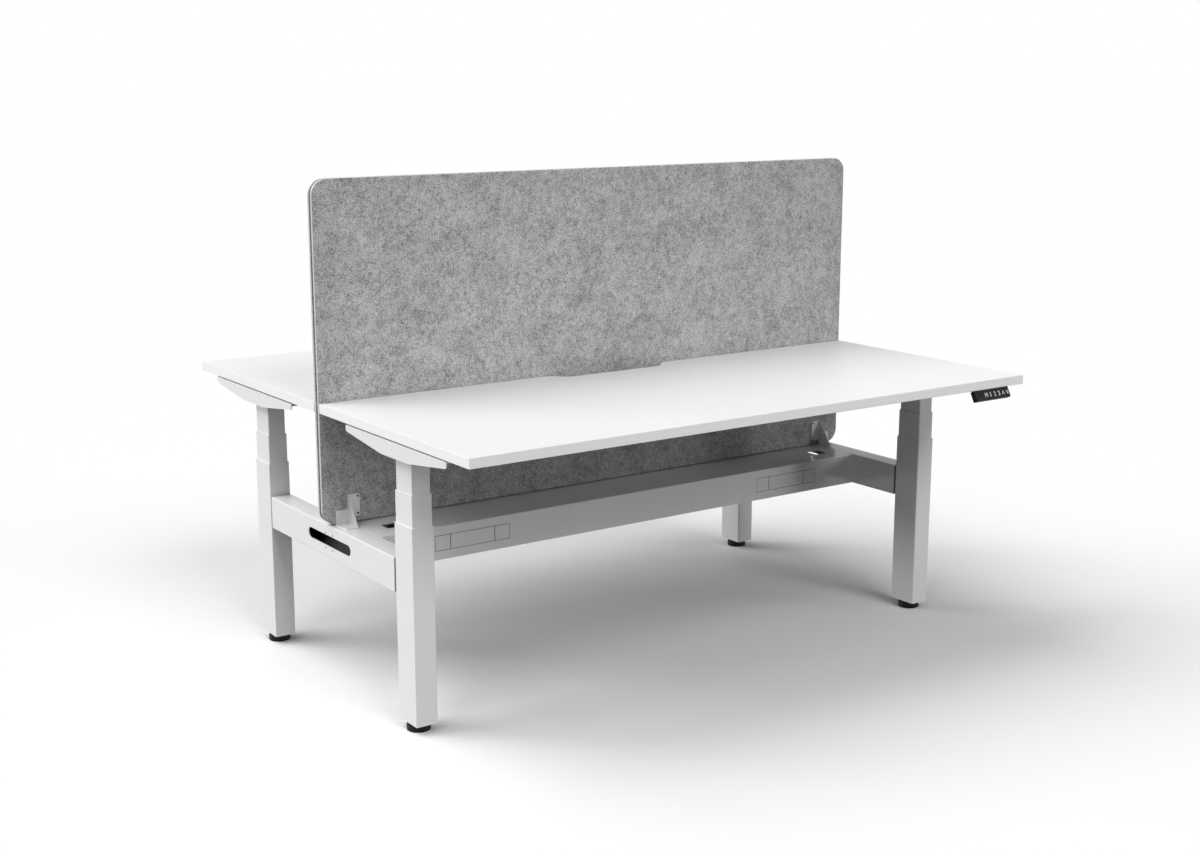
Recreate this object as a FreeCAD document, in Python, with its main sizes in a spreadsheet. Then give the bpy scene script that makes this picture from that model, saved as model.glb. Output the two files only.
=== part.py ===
import FreeCAD, Part
import math
import operator
import os

import Sketcher

# Back-to-back workstation: two lifting desks on one shared frame, with a felt screen between them.
# Millimetres. X runs along the desks, Y from the front desk to the rear desk, +Z up.
# The origin is on the floor under the centre. The rear half is the front half turned half a turn.

SIZES = {
    # Desktops
    "desk_width": 1800.0,
    "desk_depth": 750.0,
    "desk_thickness": 25.0,
    "desk_bevel": 0.8,
    "desk_gap": 30.0,
    "desk_height": 761.6,
    "lowest_height": 625.0,
    "highest_height": 1275.0,
    # Cable scallop in each desktop's back edge
    "scallop_mouth": 382.0,
    "scallop_floor": 322.0,
    "scallop_depth": 45.0,
    "scallop_round": 48.0,
    # Lifting columns of three stages
    "column_width": 60.0,
    "column_depth": 90.0,
    "column_length": 504.0,
    "column_round": 3.0,
    "column_wall": 2.2,
    "stage_clearance": 0.3,
    "stage_reveal": 11.7,
    "stage_overlap": 153.3,
    "leg_inset": 22.0,
    # Levelling feet
    "foot_lift": 22.5,
    "foot_plate": 8.0,
    "foot_diameter": 60.0,
    "foot_thickness": 17.0,
    "collar_across": 22.0,
    "stem_diameter": 10.0,
    "stem_length": 23.5,
    "stem_clearance": 0.1,
    # End rails
    "rail_top": 434.0,
    "rail_height": 90.0,
    "rail_round": 3.0,
    "rail_wall": 2.5,
    "rail_end_plate": 3.0,
    "rail_gap": 7.0,
    "tongue_inset": 5.0,
    "slot_length": 246.0,
    "slot_height": 29.0,
    "slot_rise": 1.5,
    # Cable beam
    "beam_width": 356.0,
    "beam_sheet": 2.0,
    "beam_round": 2.5,
    "cover_lip": 12.0,
    "cover_clearance": 0.3,
    "cutout_size": 45.0,
    "cutout_from_rail": 75.5,
    "cutout_from_middle": 96.0,
    "window_length": 230.0,
    "window_height": 42.0,
    "window_from_rail": 156.0,
    # Knock-out panels in the beam's windows
    "blank_clearance": 1.2,
    "blank_lip": 2.3,
    "blank_lip_thickness": 1.2,
    "groove_width": 2.0,
    "groove_depth": 1.5,
    # Felt screen
    "screen_top": 1332.0,
    "screen_lift": 3.0,
    "screen_round": 41.0,
    "felt_thickness": 9.0,
    "core_thickness": 8.0,
    "core_inset": 15.0,
    # Screen brackets
    "bracket_from_rail": 8.0,
    "bracket_sheet": 2.5,
    "bracket_height": 78.0,
    "bracket_depth": 57.0,
    "bracket_tip": 5.0,
    "bracket_ledge": 2.0,
    "flange_width": 32.0,
    "flange_bottom": 17.0,
    "tab_width": 37.0,
    "tab_height": 39.0,
    "bracket_round": 4.0,
    # Support arms under the desktops, with the columns at their middles
    "arm_front_inset": 104.5,
    "arm_back_inset": 144.5,
    "arm_width": 101.0,
    "arm_sheet": 3.0,
    "arm_depth": 39.0,
    "arm_end_depth": 15.5,
    "arm_taper": 185.0,
    "arm_end_round": 8.0,
    "arm_bend_round": 60.0,
    "arm_fold_round": 2.5,
    "pad_size": 24.0,
    "pad_thickness": 4.0,
    # Crossbars between the arms
    "bar_width": 30.0,
    "bar_height": 32.0,
    "bar_wall": 2.0,
    "bar_spacing": 140.0,
    # Drive units at the column heads
    "gearcase_width": 72.0,
    "gearcase_height": 49.0,
    "gearcase_reach": 58.0,
    "gearcase_round": 6.0,
    "notch_clearance": 1.0,
    "motor_diameter": 54.0,
    "motor_length": 150.0,
    "motor_drop": 27.0,
    # Control boxes
    "box_length": 260.0,
    "box_width": 80.0,
    "box_height": 36.0,
    "box_round": 4.0,
    "ear_length": 16.0,
    "ear_thickness": 3.0,
    # Handsets
    "handset_length": 134.0,
    "handset_face": 30.0,
    "handset_thickness": 14.5,
    "handset_tilt": 28.0,
    "handset_from_end": 62.0,
    "handset_setback": 1.0,
    "handset_round": 1.5,
    "plate_length": 110.0,
    "plate_depth": 64.0,
    "key_pitch": 16.8,
    "key_width": 13.6,
    "key_height": 20.0,
    "key_proud": 0.6,
    "key_depth": 2.4,
    "key_travel": 1.2,
    "key_clearance": 0.3,
    "first_key": 41.7,
}

# Where the small repeated pieces lie, as shares of the piece that carries them
PAD_SHARES = (-0.44, -0.2, 0.2, 0.44)
DIVIDER_SHARES = (-0.295, 0.295)
KEY_MIDDLE_SHARE = 0.53
PLATE_START_SHARE = 0.2

KEY_NAMES = ("memory", "one", "two", "three", "up", "down")
HEXAGON_SIDES = 6
FULL_TURN = 360.0
HALF_TURN = 180.0
MATCH = 0.001

OPERATIONS = {"+": operator.add, "-": operator.sub, "*": operator.mul, "/": operator.truediv}


class Size:
    """A size that knows its value and the sheet expression that gives it."""

    def __init__(self, value, expression):
        self.value = value
        self.expression = expression

    def __add__(self, other):
        return combine(self, "+", other)

    def __radd__(self, other):
        return combine(other, "+", self)

    def __sub__(self, other):
        return combine(self, "-", other)

    def __rsub__(self, other):
        return combine(other, "-", self)

    def __mul__(self, other):
        return combine(self, "*", other)

    def __rmul__(self, other):
        return combine(other, "*", self)

    def __truediv__(self, other):
        return combine(self, "/", other)

    def __neg__(self):
        return combine(-1, "*", self)


def as_size(term):
    return term if isinstance(term, Size) else Size(float(term), repr(float(term)))


def combine(left, sign, right):
    first = as_size(left)
    second = as_size(right)
    value = OPERATIONS[sign](first.value, second.value)
    return Size(value, "(" + first.expression + " " + sign + " " + second.expression + ")")


def sine(angle):
    return Size(math.sin(math.radians(angle.value)), "sin(" + angle.expression + ")")


def cosine(angle):
    return Size(math.cos(math.radians(angle.value)), "cos(" + angle.expression + ")")


class Sizes:
    """The spreadsheet of driving sizes, read by alias."""

    def __init__(self, document, values):
        self.values = values
        sheet = document.addObject("Spreadsheet::Sheet", "Sizes")
        for row, (alias, value) in enumerate(values.items(), start=1):
            sheet.set("A" + str(row), alias)
            sheet.set("B" + str(row), str(value))
            sheet.setAlias("B" + str(row), alias)

    def __getattr__(self, alias):
        return Size(self.values[alias], "Sizes." + alias)


doc = FreeCAD.newDocument("Workstation")
S = Sizes(doc, SIZES)
doc.recompute()
NODES = []

# Places that several pieces share
LEG_X = S.desk_width / 2 - S.leg_inset - S.column_width / 2
ARM_LENGTH = S.desk_depth - S.arm_front_inset - S.arm_back_inset
LEG_Y = S.desk_gap / 2 + S.arm_back_inset + ARM_LENGTH / 2
STAGE_STEP = S.column_wall + S.stage_clearance
UNDERSIDE = S.desk_height - S.desk_thickness
ARM_TOP = UNDERSIDE - S.pad_thickness
COLUMN_HEAD = ARM_TOP - S.arm_sheet
COLUMN_TOP = S.foot_lift + S.column_length
STROKE = S.highest_height - S.lowest_height
RAISED = S.desk_height - S.lowest_height
MIDDLE_TOP = COLUMN_TOP + S.stage_reveal + RAISED / 2
MIDDLE_LENGTH = STROKE / 2 + S.stage_reveal + S.stage_overlap
INNER_WIDTH = S.column_width - STAGE_STEP * 4
INNER_LENGTH = COLUMN_HEAD - MIDDLE_TOP + (S.highest_height - S.desk_height) / 2 + S.stage_overlap
RAIL_BOTTOM = S.rail_top - S.rail_height
RAIL_REACH = LEG_Y - S.column_depth / 2
RAIL_INNER = LEG_X - S.column_width / 2
WINDOW_X = RAIL_INNER - S.window_from_rail - S.window_length / 2
SCREEN_FACE = S.core_thickness / 2 + S.felt_thickness
HANDSET_X = S.desk_width / 2 - S.handset_from_end - S.handset_length / 2
HANDSET_Y = -(S.desk_gap / 2 + S.desk_depth - S.handset_setback)


def new_body(name):
    body = doc.addObject("PartDesign::Body", name)
    body.Label = name
    NODES.append(body)
    return body


def place(body, x, y, z, turned=False):
    """Puts a body at x, y, z, turned half a turn about its own vertical axis if asked."""
    spin = FreeCAD.Rotation(FreeCAD.Vector(0, 0, 1), HALF_TURN if turned else 0)
    body.Placement = FreeCAD.Placement(FreeCAD.Vector(), spin)
    for axis, distance in (("x", x), ("y", y), ("z", z)):
        if isinstance(distance, Size):
            body.setExpression("Placement.Base." + axis, distance.expression)


def sketch_on(body, name, role, lift=None, tilt=None):
    """A sketch on one of the body's origin planes, lifted or tilted about its own x axis."""
    sketch = body.newObject("Sketcher::SketchObject", body.Name + "_" + name)
    for feature in body.Origin.OriginFeatures:
        if feature.Role == role:
            sketch.AttachmentSupport = [(feature, "")]
    sketch.MapMode = "FlatFace"
    if lift is not None:
        sketch.setExpression("AttachmentOffset.Base.z", lift.expression)
    if tilt is not None:
        lean = FreeCAD.Rotation(FreeCAD.Vector(-1, 0, 0), tilt.value)
        sketch.AttachmentOffset = FreeCAD.Placement(FreeCAD.Vector(), lean)
        sketch.setExpression("AttachmentOffset.Rotation.Angle", tilt.expression)
    return sketch


def bind(sketch, kind, geometry, corner, size):
    index = sketch.addConstraint(Sketcher.Constraint(kind, -1, 1, geometry, corner, size.value))
    sketch.setExpression("Constraints[" + str(index) + "]", size.expression)


def fix_point(sketch, geometry, corner, x, y):
    """Dimensions one point of a sketch from the sketch's origin."""
    for kind, axis, size in (("DistanceX", -2, x), ("DistanceY", -1, y)):
        if isinstance(size, Size):
            bind(sketch, kind, geometry, corner, size)
        else:
            sketch.addConstraint(Sketcher.Constraint("PointOnObject", geometry, corner, axis))


def outline(sketch, corners):
    """A closed outline of straight lines through the corners."""
    first = sketch.GeometryCount
    count = len(corners)
    points = [FreeCAD.Vector(as_size(x).value, as_size(y).value, 0) for x, y in corners]
    for index in range(count):
        line = Part.LineSegment(points[index], points[(index + 1) % count])
        sketch.addGeometry(line)
    for index, (x, y) in enumerate(corners):
        following = first + (index + 1) % count
        sketch.addConstraint(Sketcher.Constraint("Coincident", first + index, 2, following, 1))
        fix_point(sketch, first + index, 1, x, y)


def rectangle(sketch, left, right, low, high):
    outline(sketch, [(left, low), (right, low), (right, high), (left, high)])


def circle(sketch, x, y, radius):
    centre = FreeCAD.Vector(as_size(x).value, as_size(y).value, 0)
    index = sketch.addGeometry(Part.Circle(centre, FreeCAD.Vector(0, 0, 1), radius.value))
    fix_point(sketch, index, 3, x, y)
    rule = sketch.addConstraint(Sketcher.Constraint("Radius", index, radius.value))
    sketch.setExpression("Constraints[" + str(rule) + "]", radius.expression)


def stadium(sketch, middle, length, height):
    """A slot with round ends, centred on the sketch's vertical axis at the height middle."""
    radius = height / 2
    reach = length / 2 - radius
    far = reach.value
    rise = middle.value
    bulge = radius.value
    normal = FreeCAD.Vector(0, 0, 1)
    quarter = math.pi / 2
    right_circle = Part.Circle(FreeCAD.Vector(far, rise, 0), normal, bulge)
    left_circle = Part.Circle(FreeCAD.Vector(-far, rise, 0), normal, bulge)
    right = sketch.addGeometry(Part.ArcOfCircle(right_circle, -quarter, quarter))
    left = sketch.addGeometry(Part.ArcOfCircle(left_circle, quarter, math.pi + quarter))
    upper = Part.LineSegment(FreeCAD.Vector(far, rise + bulge, 0), FreeCAD.Vector(-far, rise + bulge, 0))
    lower = Part.LineSegment(FreeCAD.Vector(-far, rise - bulge, 0), FreeCAD.Vector(far, rise - bulge, 0))
    top = sketch.addGeometry(upper)
    bottom = sketch.addGeometry(lower)
    for first, first_end, second, second_end in (
        (right, 2, top, 1),
        (top, 2, left, 1),
        (left, 2, bottom, 1),
        (bottom, 2, right, 1),
    ):
        sketch.addConstraint(Sketcher.Constraint("Tangent", first, first_end, second, second_end))
    fix_point(sketch, right, 3, reach, middle)
    fix_point(sketch, left, 3, -reach, middle)
    rule = sketch.addConstraint(Sketcher.Constraint("Radius", right, bulge))
    sketch.setExpression("Constraints[" + str(rule) + "]", radius.expression)
    sketch.addConstraint(Sketcher.Constraint("Equal", right, left))


def pad(body, sketch, length, side="One side", backward=False, second=None):
    feature = body.newObject("PartDesign::Pad", sketch.Name + "_pad")
    feature.Profile = sketch
    feature.SideType = side
    feature.Reversed = backward
    feature.setExpression("Length", length.expression)
    if second is not None:
        feature.setExpression("Length2", second.expression)
    return feature


def pocket(body, sketch, length=None, side="One side", backward=False):
    """Cuts a sketch out of the body, right through it where no length is given."""
    doc.recompute()
    before = body.Shape.Volume
    feature = body.newObject("PartDesign::Pocket", sketch.Name + "_cut")
    feature.Profile = sketch
    feature.SideType = side
    feature.Reversed = backward
    if length is None:
        feature.Type = "ThroughAll"
    else:
        feature.setExpression("Length", length.expression)
    doc.recompute()
    if body.Shape.Volume >= before:
        raise ValueError(feature.Name + " cuts nothing")
    return feature


def straight_edges(body, axis, places):
    """Names of the tip's straight edges along an axis through any of the places beside it."""
    doc.recompute()
    others = [index for index in range(3) if index != axis]
    names = []
    for number, edge in enumerate(body.Tip.Shape.Edges, start=1):
        ends = [vertex.Point for vertex in edge.Vertexes]
        if len(ends) != 2 or abs(abs(ends[1][axis] - ends[0][axis]) - edge.Length) > MATCH:
            continue
        for place_at in places:
            gaps = [abs(ends[0][others[index]] - as_size(place_at[index]).value) for index in range(2)]
            if max(gaps) < MATCH:
                names.append("Edge" + str(number))
    return names


def flat_rim(body, height):
    """Names of the tip's edges that lie at one height."""
    doc.recompute()
    names = []
    for number, edge in enumerate(body.Tip.Shape.Edges, start=1):
        box = edge.BoundBox
        if abs(box.ZMin - height) < MATCH and abs(box.ZMax - height) < MATCH:
            names.append("Edge" + str(number))
    return names


def soften(body, kind, names, size):
    """Rounds or bevels the named edges of the body's tip."""
    base = body.Tip
    feature = body.newObject("PartDesign::" + kind, body.Name + "_" + kind.lower())
    feature.Base = (base, names)
    feature.setExpression("Radius" if kind == "Fillet" else "Size", size.expression)
    doc.recompute()
    return feature


X, Y, Z = range(3)


# Desktop with the cable scallop, an S-curved recess in its back edge
def make_desktop(name, turned):
    body = new_body(name)
    sketch = sketch_on(body, "board", "XY_Plane")
    half = S.desk_width / 2
    mouth = S.scallop_mouth / 2
    floor = S.scallop_floor / 2
    back = -S.desk_gap / 2
    recess = back - S.scallop_depth
    front = back - S.desk_depth
    outline(sketch, [
        (-half, front), (half, front), (half, back), (mouth, back),
        (floor, recess), (-floor, recess), (-mouth, back), (-half, back),
    ])
    pad(body, sketch, S.desk_thickness)
    turns = [(mouth, back), (floor, recess), (-floor, recess), (-mouth, back)]
    soften(body, "Fillet", straight_edges(body, Z, turns), S.scallop_round)
    rims = flat_rim(body, 0) + flat_rim(body, S.desk_thickness.value)
    soften(body, "Chamfer", rims, S.desk_bevel)
    place(body, 0, 0, UNDERSIDE, turned)


# Support arm: a boat-shaped channel of folded steel, open below, with pads that carry the desktop
def make_arm(name, x, y, turned):
    body = new_body(name)
    half = ARM_LENGTH / 2
    flat = half - S.arm_taper
    side = S.arm_width / 2
    boat = sketch_on(body, "boat", "YZ_Plane")
    outline(boat, [
        (-half, 0), (-half, -S.arm_end_depth), (-flat, -S.arm_depth),
        (flat, -S.arm_depth), (half, -S.arm_end_depth), (half, 0),
    ])
    pad(body, boat, S.arm_width, side="Symmetric")
    ends = [(-half, -S.arm_end_depth), (half, -S.arm_end_depth)]
    soften(body, "Fillet", straight_edges(body, X, ends), S.arm_end_round)
    bends = [(-flat, -S.arm_depth), (flat, -S.arm_depth)]
    soften(body, "Fillet", straight_edges(body, X, bends), S.arm_bend_round)
    soften(body, "Fillet", straight_edges(body, Y, [(-side, 0), (side, 0)]), S.arm_fold_round)
    below = -(S.arm_depth + S.arm_sheet)
    inside = sketch_on(body, "inside", "XZ_Plane")
    rectangle(inside, S.arm_sheet - side, side - S.arm_sheet, below, -S.arm_sheet)
    pocket(body, inside, side="Symmetric")
    notch = sketch_on(body, "notch", "YZ_Plane")
    opening = S.gearcase_width / 2 + S.notch_clearance
    rectangle(notch, -opening, opening, below, -S.arm_sheet)
    pocket(body, notch)
    pads = sketch_on(body, "pads", "XY_Plane")
    grip = S.pad_size / 2
    for share in PAD_SHARES:
        middle = ARM_LENGTH * share
        rectangle(pads, -grip, grip, middle - grip, middle + grip)
    pad(body, pads, S.pad_thickness)
    place(body, x, y, ARM_TOP, turned)


# Lowest stage of a column, closed below by the plate that the foot's stem screws through
def make_outer_column(name, x, y):
    body = new_body(name)
    side = S.column_width / 2
    face = S.column_depth / 2
    section = sketch_on(body, "section", "XY_Plane")
    rectangle(section, -side, side, -face, face)
    pad(body, section, S.column_length)
    corners = [(-side, -face), (side, -face), (side, face), (-side, face)]
    soften(body, "Fillet", straight_edges(body, Z, corners), S.column_round)
    bore = sketch_on(body, "bore", "XY_Plane", lift=S.foot_plate)
    wall = S.column_wall
    rectangle(bore, wall - side, side - wall, wall - face, face - wall)
    pocket(body, bore, backward=True)
    thread = sketch_on(body, "thread", "XY_Plane")
    circle(thread, 0, 0, S.stem_diameter / 2 + S.stem_clearance)
    pocket(body, thread, length=S.foot_plate, backward=True)
    place(body, x, y, S.foot_lift)


# A moving stage of a column: an open tube that runs inside the stage below it
def make_stage(name, x, y, step, top, length):
    body = new_body(name)
    side = S.column_width / 2 - STAGE_STEP * step
    face = S.column_depth / 2 - STAGE_STEP * step
    wall = S.column_wall
    section = sketch_on(body, "section", "XY_Plane")
    rectangle(section, -side, side, -face, face)
    rectangle(section, wall - side, side - wall, wall - face, face - wall)
    pad(body, section, length)
    corners = [(-side, -face), (side, -face), (side, face), (-side, face)]
    soften(body, "Fillet", straight_edges(body, Z, corners), S.column_round)
    place(body, x, y, top - length)


# Levelling foot: a disc, a hexagonal collar and a stem, screwed fully in
def make_foot(name, x, y):
    body = new_body(name)
    edge = S.foot_diameter / 2
    stem = S.stem_diameter / 2
    top = S.foot_thickness
    tip = S.foot_lift + S.stem_length
    profile = sketch_on(body, "profile", "XZ_Plane")
    outline(profile, [(0, 0), (edge, 0), (edge, top), (stem, top), (stem, tip), (0, tip)])
    turning = body.newObject("PartDesign::Revolution", name + "_turning")
    turning.Profile = profile
    turning.ReferenceAxis = (profile, ["V_Axis"])
    turning.Angle = FULL_TURN
    collar = sketch_on(body, "collar", "XY_Plane", lift=S.foot_thickness)
    side_turn = math.tau / HEXAGON_SIDES
    reach = S.collar_across / (2 * math.cos(side_turn / 2))
    corners = []
    for index in range(HEXAGON_SIDES):
        angle = side_turn * (index + 0.5)
        corners.append((reach * math.cos(angle), reach * math.sin(angle)))
    outline(collar, corners)
    pad(body, collar, S.foot_lift - S.foot_thickness)
    place(body, x, y, 0)


# End rail: a closed tube with a cable slot through both faces and a narrower tongue to each column
def make_end_rail(name, x):
    body = new_body(name)
    side = S.column_width / 2
    tongue = sketch_on(body, "tongue", "XZ_Plane")
    inset = S.tongue_inset
    rectangle(tongue, inset - side, side - inset, inset, S.rail_height - inset)
    pad(body, tongue, RAIL_REACH * 2, side="Symmetric")
    tube = sketch_on(body, "tube", "XZ_Plane")
    rectangle(tube, -side, side, 0, S.rail_height)
    tube_length = (RAIL_REACH - S.rail_gap) * 2
    pad(body, tube, tube_length, side="Symmetric")
    corners = [(-side, 0), (side, 0), (side, S.rail_height), (-side, S.rail_height)]
    soften(body, "Fillet", straight_edges(body, Y, corners), S.rail_round)
    hollow = sketch_on(body, "hollow", "XZ_Plane")
    wall = S.rail_wall
    rectangle(hollow, wall - side, side - wall, wall, S.rail_height - wall)
    pocket(body, hollow, length=tube_length - S.rail_end_plate * 2, side="Symmetric")
    slot = sketch_on(body, "slot", "YZ_Plane")
    stadium(slot, S.rail_height / 2 + S.slot_rise, S.slot_length, S.slot_height)
    pocket(body, slot, side="Symmetric")
    place(body, x, 0, RAIL_BOTTOM)


# Cable beam: a folded channel, open below, with cable cut-outs above and windows in both faces
def make_beam(name):
    body = new_body(name)
    half = S.beam_width / 2
    sheet = S.beam_sheet
    height = S.rail_height
    channel = sketch_on(body, "channel", "YZ_Plane")
    outline(channel, [
        (-half, 0), (sheet - half, 0), (sheet - half, height - sheet), (half - sheet, height - sheet),
        (half - sheet, 0), (half, 0), (half, height), (-half, height),
    ])
    pad(body, channel, RAIL_INNER * 2, side="Symmetric")
    folds = [(-half, height), (half, height)]
    soften(body, "Fillet", straight_edges(body, X, folds), S.beam_round)
    cutouts = sketch_on(body, "cutouts", "XY_Plane")
    grip = S.cutout_size / 2
    for along in (-1, 1):
        for across in (-1, 1):
            x = (RAIL_INNER - S.cutout_from_rail) * along
            y = S.cutout_from_middle * across
            rectangle(cutouts, x - grip, x + grip, y - grip, y + grip)
    pocket(body, cutouts, side="Symmetric")
    windows = sketch_on(body, "windows", "XZ_Plane")
    rise = S.window_height / 2
    reach = S.window_length / 2
    for along in (-1, 1):
        x = WINDOW_X * along
        rectangle(windows, x - reach, x + reach, height / 2 - rise, height / 2 + rise)
    pocket(body, windows, side="Symmetric")
    place(body, 0, 0, RAIL_BOTTOM)


# Bottom cover of the beam: a shallow tray that closes the channel
def make_beam_cover(name):
    body = new_body(name)
    half = S.beam_width / 2 - S.beam_sheet - S.cover_clearance
    sheet = S.beam_sheet
    tray = sketch_on(body, "tray", "YZ_Plane")
    outline(tray, [
        (-half, 0), (half, 0), (half, S.cover_lip), (half - sheet, S.cover_lip),
        (half - sheet, sheet), (sheet - half, sheet), (sheet - half, S.cover_lip), (-half, S.cover_lip),
    ])
    pad(body, tray, RAIL_INNER * 2, side="Symmetric")
    place(body, 0, 0, RAIL_BOTTOM)


# Knock-out panel: flush in its window, held by a lip behind the sheet, scored into three fields
def make_blank(name, x, y, turned):
    body = new_body(name)
    reach = S.window_length / 2 - S.blank_clearance
    rise = S.window_height / 2 - S.blank_clearance
    front = sketch_on(body, "front", "XZ_Plane")
    rectangle(front, -reach, reach, -rise, rise)
    pad(body, front, S.beam_sheet, backward=True)
    lip = sketch_on(body, "lip", "XZ_Plane", lift=-S.beam_sheet)
    lip_reach = S.window_length / 2 + S.blank_lip
    lip_rise = S.window_height / 2 + S.blank_lip
    rectangle(lip, -lip_reach, lip_reach, -lip_rise, lip_rise)
    pad(body, lip, S.blank_lip_thickness, backward=True)
    grooves = sketch_on(body, "grooves", "XZ_Plane")
    for share in DIVIDER_SHARES:
        line = S.window_length * share
        rectangle(grooves, line - S.groove_width / 2, line + S.groove_width / 2, -rise, rise)
    pocket(body, grooves, length=S.groove_depth)
    place(body, x, y, RAIL_BOTTOM + S.rail_height / 2, turned)


# Felt sheet of the screen, with round corners
def make_felt(name, turned):
    body = new_body(name)
    reach = S.desk_width / 2
    low = S.rail_top + S.screen_lift
    sheet = sketch_on(body, "sheet", "XZ_Plane", lift=S.core_thickness / 2)
    rectangle(sheet, -reach, reach, low, S.screen_top)
    pad(body, sheet, S.felt_thickness)
    corners = [(-reach, low), (reach, low), (reach, S.screen_top), (-reach, S.screen_top)]
    soften(body, "Fillet", straight_edges(body, Y, corners), S.screen_round)
    place(body, 0, 0, 0, turned)


# Core between the felt sheets: it stands on the beam and stays back from the felt's edge
def make_screen_core(name):
    body = new_body(name)
    reach = S.desk_width / 2 - S.core_inset
    top = S.screen_top - S.core_inset
    board = sketch_on(body, "board", "XZ_Plane")
    rectangle(board, -reach, reach, S.rail_top, top)
    pad(body, board, S.core_thickness, side="Symmetric")
    corners = [(-reach, S.rail_top), (reach, S.rail_top), (reach, top), (-reach, top)]
    soften(body, "Fillet", straight_edges(body, Y, corners), S.screen_round - S.core_inset)
    place(body, 0, 0, 0)


# Screen bracket of folded steel: a tapering web, a flange against the felt, a tab and a foot plate
def make_bracket(name, x, y, hand, turned):
    body = new_body(name)
    sheet = S.bracket_sheet
    web = sketch_on(body, "web", "YZ_Plane")
    outline(web, [(0, 0), (0, S.bracket_height), (-S.bracket_tip, S.bracket_height), (-S.bracket_depth, 0)])
    pad(body, web, sheet, backward=hand < 0)
    flange = sketch_on(body, "flange", "XZ_Plane")
    inner = -S.flange_width * hand
    rectangle(flange, inner, sheet * hand, S.flange_bottom, S.bracket_height)
    pad(body, flange, sheet)
    tab = sketch_on(body, "tab", "XZ_Plane")
    outer = S.tab_width * hand
    rectangle(tab, 0, outer, 0, S.tab_height)
    pad(body, tab, sheet)
    foot = sketch_on(body, "foot", "XY_Plane")
    rectangle(foot, 0, outer, -(S.bracket_depth + S.bracket_ledge), 0)
    pad(body, foot, sheet)
    rounded = [(inner, S.bracket_height), (inner, S.flange_bottom), (outer, S.tab_height)]
    soften(body, "Fillet", straight_edges(body, Y, rounded), S.bracket_round)
    toe = [(outer, -(S.bracket_depth + S.bracket_ledge))]
    soften(body, "Fillet", straight_edges(body, Z, toe), S.bracket_round)
    place(body, x, y, S.rail_top, turned)


# Two crossbars of square tube between the arms of one desk
def make_crossbars(name, y):
    body = new_body(name)
    section = sketch_on(body, "section", "YZ_Plane")
    half = S.bar_width / 2
    wall = S.bar_wall
    for across in (-1, 1):
        middle = S.bar_spacing / 2 * across
        rectangle(section, middle - half, middle + half, -S.bar_height, 0)
        rectangle(section, middle - half + wall, middle + half - wall, wall - S.bar_height, -wall)
    pad(body, section, (LEG_X - S.arm_width / 2) * 2, side="Symmetric")
    place(body, 0, y, ARM_TOP)


# Drive unit: a gear case against the column head and a round motor along the crossbars
def make_drive(name, x, y, turned):
    body = new_body(name)
    near = -INNER_WIDTH / 2
    far = near - S.gearcase_reach
    side = S.gearcase_width / 2
    case = sketch_on(body, "case", "XY_Plane")
    rectangle(case, far, near, -side, side)
    pad(body, case, S.gearcase_height, backward=True)
    soften(body, "Fillet", straight_edges(body, Z, [(far, -side), (far, side)]), S.gearcase_round)
    motor = sketch_on(body, "motor", "YZ_Plane", lift=far)
    circle(motor, 0, -S.motor_drop, S.motor_diameter / 2)
    pad(body, motor, S.motor_length, backward=True)
    place(body, x, y, COLUMN_HEAD, turned)


# Control box under the desktop, with screw ears
def make_control_box(name, y, turned):
    body = new_body(name)
    reach = S.box_length / 2
    side = S.box_width / 2
    case = sketch_on(body, "case", "XY_Plane")
    rectangle(case, -reach, reach, -side, side)
    pad(body, case, S.box_height, backward=True)
    corners = [(-reach, -side), (reach, -side), (reach, side), (-reach, side)]
    soften(body, "Fillet", straight_edges(body, Z, corners), S.box_round)
    ears = sketch_on(body, "ears", "XY_Plane")
    rectangle(ears, -(reach + S.ear_length), reach + S.ear_length, -side / 2, side / 2)
    pad(body, ears, S.ear_thickness, backward=True)
    place(body, 0, y, UNDERSIDE, turned)


def key_place(index):
    """Left, right, low and high sides of a key on the handset's tilted face."""
    x = S.first_key - S.handset_length / 2 + S.key_pitch * index
    middle = -S.handset_face * KEY_MIDDLE_SHARE
    return x - S.key_width / 2, x + S.key_width / 2, middle - S.key_height / 2, middle + S.key_height / 2


# Handset: a slim bar tilted towards the user under the desk's front edge, with a plate that screws on
def make_handset(name, x, y, turned):
    body = new_body(name)
    lean = sine(S.handset_tilt)
    drop = cosine(S.handset_tilt)
    face_y = -S.handset_face * lean
    face_z = -S.handset_face * drop
    back_y = S.handset_thickness * drop
    back_z = -S.handset_thickness * lean
    bar = sketch_on(body, "bar", "YZ_Plane")
    outline(bar, [(0, 0), (face_y, face_z), (face_y + back_y, face_z + back_z), (back_y, back_z)])
    pad(body, bar, S.handset_length, side="Symmetric")
    rounded = [(face_y, face_z), (face_y + back_y, face_z + back_z)]
    soften(body, "Fillet", straight_edges(body, X, rounded), S.handset_round)
    plate = sketch_on(body, "plate", "YZ_Plane")
    rectangle(plate, S.plate_depth * PLATE_START_SHARE / 2, S.plate_depth, back_z, 0)
    pad(body, plate, S.plate_length, side="Symmetric")
    wells = sketch_on(body, "wells", "XZ_Plane", tilt=S.handset_tilt)
    gap = S.key_clearance
    for index in range(len(KEY_NAMES)):
        left, right, low, high = key_place(index)
        rectangle(wells, left - gap, right + gap, low - gap, high + gap)
    pocket(body, wells, length=S.key_depth + S.key_travel + gap)
    place(body, x, y, UNDERSIDE, turned)


# Key of a handset, standing a little proud of the tilted face
def make_key(name, index, x, y, turned):
    body = new_body(name)
    cap = sketch_on(body, "cap", "XZ_Plane", tilt=S.handset_tilt)
    left, right, low, high = key_place(index)
    rectangle(cap, left, right, low, high)
    pad(body, cap, S.key_proud, side="Two sides", second=S.key_depth)
    place(body, x, y, UNDERSIDE, turned)


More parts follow.
